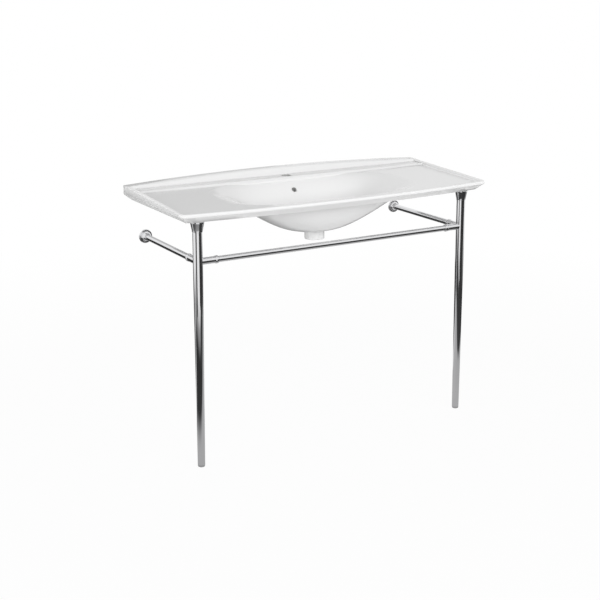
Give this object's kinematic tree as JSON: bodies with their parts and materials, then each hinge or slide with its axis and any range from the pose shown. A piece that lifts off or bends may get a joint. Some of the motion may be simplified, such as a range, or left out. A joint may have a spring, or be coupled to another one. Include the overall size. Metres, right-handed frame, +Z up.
{
  "type": "console sink with legs",
  "caption": "Wide shallow ceramic console basin with an arched upstand and tap ledge, on two tapered metal legs with a towel rail and side rails to the wall.",
  "frame": {"origin": "on the floor, below the middle of the basin's plan", "axes": "+X to the right as seen from the front, +Y towards the wall, +Z up"},
  "size_m": [1.2, 0.505, 0.899],
  "materials": {
    "glazed_ceramic": "smooth white glaze",
    "polished_chrome": "polished chrome plate",
    "plain_steel": "plain zinc-plated steel",
    "insert_brass": "turned brass",
    "clear_pad": "soft milky plastic",
    "foot_rubber": "matt grey rubber"
  },
  "bodies": {
    "stand": {"basin": "glazed_ceramic", "front_rail": "polished_chrome", "socket_grub_screws": "plain_steel", "left_leg_tube": "polished_chrome", "left_leg_cup": "polished_chrome", "left_cup_pad": "clear_pad", "left_cup_stud": "plain_steel", "left_cup_nut": "plain_steel", "left_leg_top_insert": "insert_brass", "left_leg_bottom_insert": "insert_brass", "left_front_socket": "polished_chrome", "left_front_ring": "polished_chrome", "left_side_socket": "polished_chrome", "left_side_ring": "polished_chrome", "left_side_rail": "polished_chrome", "left_wall_anchor": "plain_steel", "right_leg_tube": "polished_chrome", "right_leg_cup": "polished_chrome", "right_cup_pad": "clear_pad", "right_cup_stud": "plain_steel", "right_cup_nut": "plain_steel", "right_leg_top_insert": "insert_brass", "right_leg_bottom_insert": "insert_brass", "right_front_socket": "polished_chrome", "right_front_ring": "polished_chrome", "right_side_socket": "polished_chrome", "right_side_ring": "polished_chrome", "right_side_rail": "polished_chrome", "right_wall_anchor": "plain_steel"},
    "left_foot": {"left_levelling_foot": "polished_chrome", "left_foot_glide": "foot_rubber"},
    "left_flange": {"left_wall_flange": "polished_chrome"},
    "right_foot": {"right_levelling_foot": "polished_chrome", "right_foot_glide": "foot_rubber"},
    "right_flange": {"right_wall_flange": "polished_chrome"}
  },
  "joints": [
    {"name": "left_foot_height", "type": "slide", "parent": "stand", "child": "left_foot", "axis": [0, 0, -1], "range_m": [0, 0.015]},
    {"name": "left_flange_slide", "type": "slide", "parent": "stand", "child": "left_flange", "axis": [0, -1, 0], "range_m": [0, 0.08]},
    {"name": "right_foot_height", "type": "slide", "parent": "stand", "child": "right_foot", "axis": [0, 0, -1], "range_m": [0, 0.015]},
    {"name": "right_flange_slide", "type": "slide", "parent": "stand", "child": "right_flange", "axis": [0, -1, 0], "range_m": [0, 0.08]}
  ]
}
